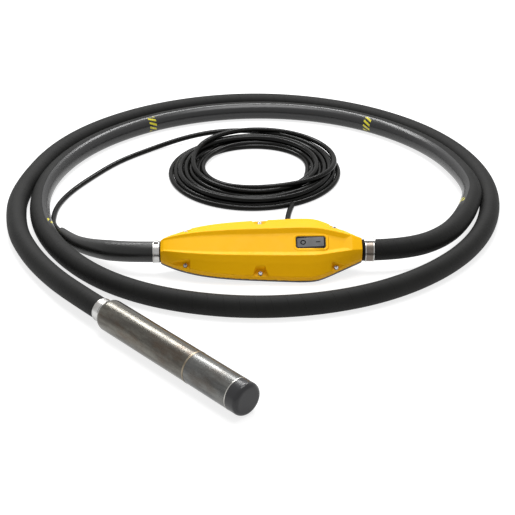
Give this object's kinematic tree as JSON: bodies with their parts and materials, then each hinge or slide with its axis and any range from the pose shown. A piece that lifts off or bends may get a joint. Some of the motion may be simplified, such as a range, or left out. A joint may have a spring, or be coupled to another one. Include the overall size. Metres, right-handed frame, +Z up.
{
  "type": "concrete vibrator",
  "caption": "Internal concrete vibrator: a steel poker head on a protective hose, with a converter housing and switch in the line and a coiled mains cable with its plug.",
  "frame": {"origin": "middle of the facet that the converter housing rests on, on the floor", "axes": "+X along the housing towards the hose, +Y away from the poker head, +Z up"},
  "size_m": [0.8777, 1.119, 0.0749],
  "materials": {
    "housing_yellow": "satin",
    "housing_grey": "satin",
    "switch_grey": "satin",
    "black_plastic": "satin",
    "board_green": "gloss",
    "aluminium": "satin",
    "seal_rubber": "matte",
    "hose_rubber": "matte",
    "sleeve_rubber": "gloss",
    "cable_rubber": "satin",
    "plug_rubber": "matte",
    "stainless": "polished",
    "screw_steel": "polished",
    "head_steel": "satin",
    "front_steel": "satin",
    "nose_steel": "polished",
    "machined_steel": "satin",
    "laminations": "matte",
    "copper": "satin",
    "plated_brass": "polished"
  },
  "bodies": {
    "body": {"housing_upper": "housing_yellow", "housing_lower": "housing_grey", "switch_bezel": "switch_grey", "switch_body": "black_plastic", "terminal_blocks": "black_plastic", "cable_grip": "black_plastic", "capacitors": "black_plastic", "converter_board": "board_green", "power_module": "aluminium", "bearing_carriers": "aluminium", "housing_gasket": "seal_rubber", "coupling_orings": "seal_rubber", "main_hose": "hose_rubber", "cable_sleeve": "sleeve_rubber", "mains_lead_in": "cable_rubber", "mains_tail": "cable_rubber", "plug_tail": "cable_rubber", "mains_coil": "cable_rubber", "motor_lead": "cable_rubber", "plug_lead": "cable_rubber", "plug_body": "plug_rubber", "plug_relief": "plug_rubber", "hose_band": "stainless", "hose_band_buckle": "stainless", "sleeve_band": "stainless", "sleeve_band_ear": "stainless", "head_band": "stainless", "head_band_ear": "stainless", "joint_ring": "stainless", "nose_ring": "stainless", "housing_screws": "screw_steel", "head_tube": "head_steel", "front_tube": "front_steel", "nose_cap": "nose_steel", "hose_nozzle": "machined_steel", "sleeve_nozzle": "machined_steel", "hose_coupling": "machined_steel", "bearing_outer_rings": "machined_steel", "stator_core": "laminations", "stator_windings": "copper", "filter_choke": "copper", "plug_pins": "plated_brass", "plug_earth_clips": "plated_brass"},
    "rocker": {"switch_rocker": "switch_grey"},
    "rotor": {"rotor_core": "laminations", "rotor_shaft": "machined_steel", "eccentric_weight": "machined_steel", "bearing_inner_rings": "machined_steel"},
    "ball_sets": {"bearing_balls": "machined_steel"}
  },
  "joints": [
    {"name": "switch_rock", "type": "hinge", "parent": "body", "child": "rocker", "pos_m": [0.0797, 0.01121, 0.05457], "axis": [-0.015, 0.857, 0.515], "range_deg": [0, 8]},
    {"name": "rotor_spin", "type": "hinge", "parent": "body", "child": "rotor", "pos_m": [-0.16329, -0.22939, 0.025], "axis": [0.6845, -0.729, 0], "continuous": true},
    {"name": "ball_orbit", "type": "hinge", "parent": "body", "child": "ball_sets", "pos_m": [-0.16329, -0.22939, 0.025], "axis": [0.6845, -0.729, 0], "continuous": true}
  ],
  "couplings": [
    {"joint": "ball_orbit", "follows": "rotor_spin", "ratio": 0.4045}
  ]
}
